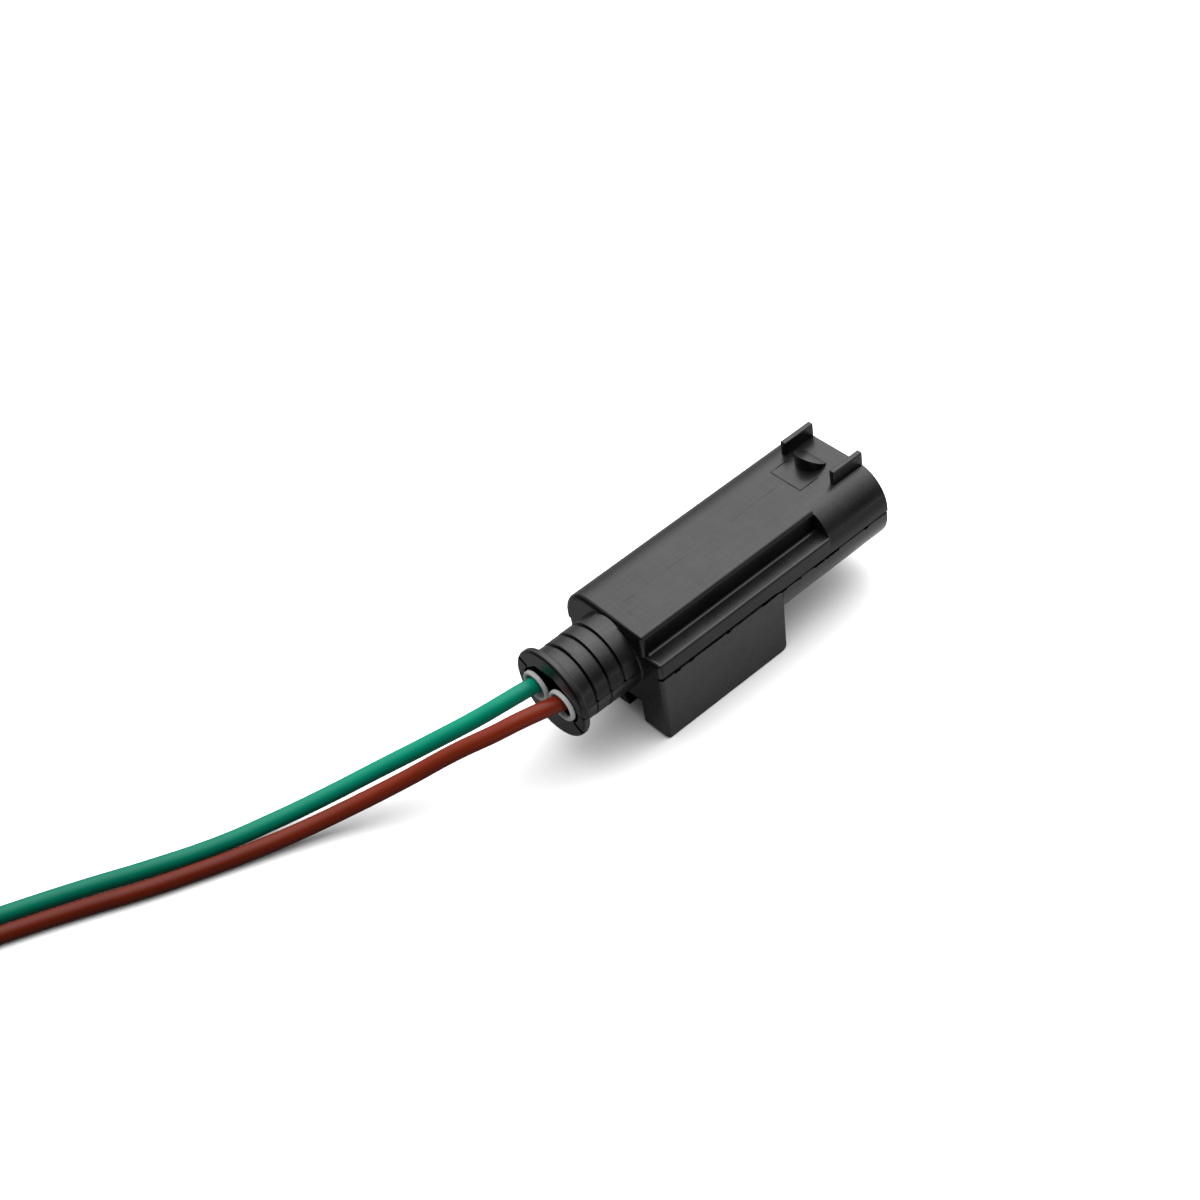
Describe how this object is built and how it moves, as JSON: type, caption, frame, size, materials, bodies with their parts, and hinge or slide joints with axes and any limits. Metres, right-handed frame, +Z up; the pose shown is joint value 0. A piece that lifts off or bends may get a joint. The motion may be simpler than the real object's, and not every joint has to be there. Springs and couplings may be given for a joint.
{
  "type": "prewired automotive connector",
  "caption": "Sealed male in-line wiring connector: black moulded housing with guide fins, latch nub, ribbed wire neck, round contact pins and short coloured leads.",
  "frame": {"origin": "under the middle of the connector without its leads, on the surface that its feet rest on", "axes": "+X along the contacts towards the mating end, +Y to the left seen from the wire side, +Z up"},
  "size_m": [0.2052, 0.0699, 0.0224],
  "materials": {
    "housing_plastic": "moulded satin black",
    "tinned_contact": "tin-plated copper alloy",
    "seal_silicone": "soft satin silicone",
    "green_insulation": "smooth green insulation",
    "brown_insulation": "smooth red-brown insulation",
    "copper": "bare stranded copper"
  },
  "bodies": {
    "root": {"housing": "housing_plastic", "contact_left": "tinned_contact", "contact_right": "tinned_contact", "seal_left": "seal_silicone", "seal_right": "seal_silicone", "insulation_left": "green_insulation", "insulation_right": "brown_insulation", "conductor_left": "copper", "conductor_right": "copper"}
  },
  "joints": []
}
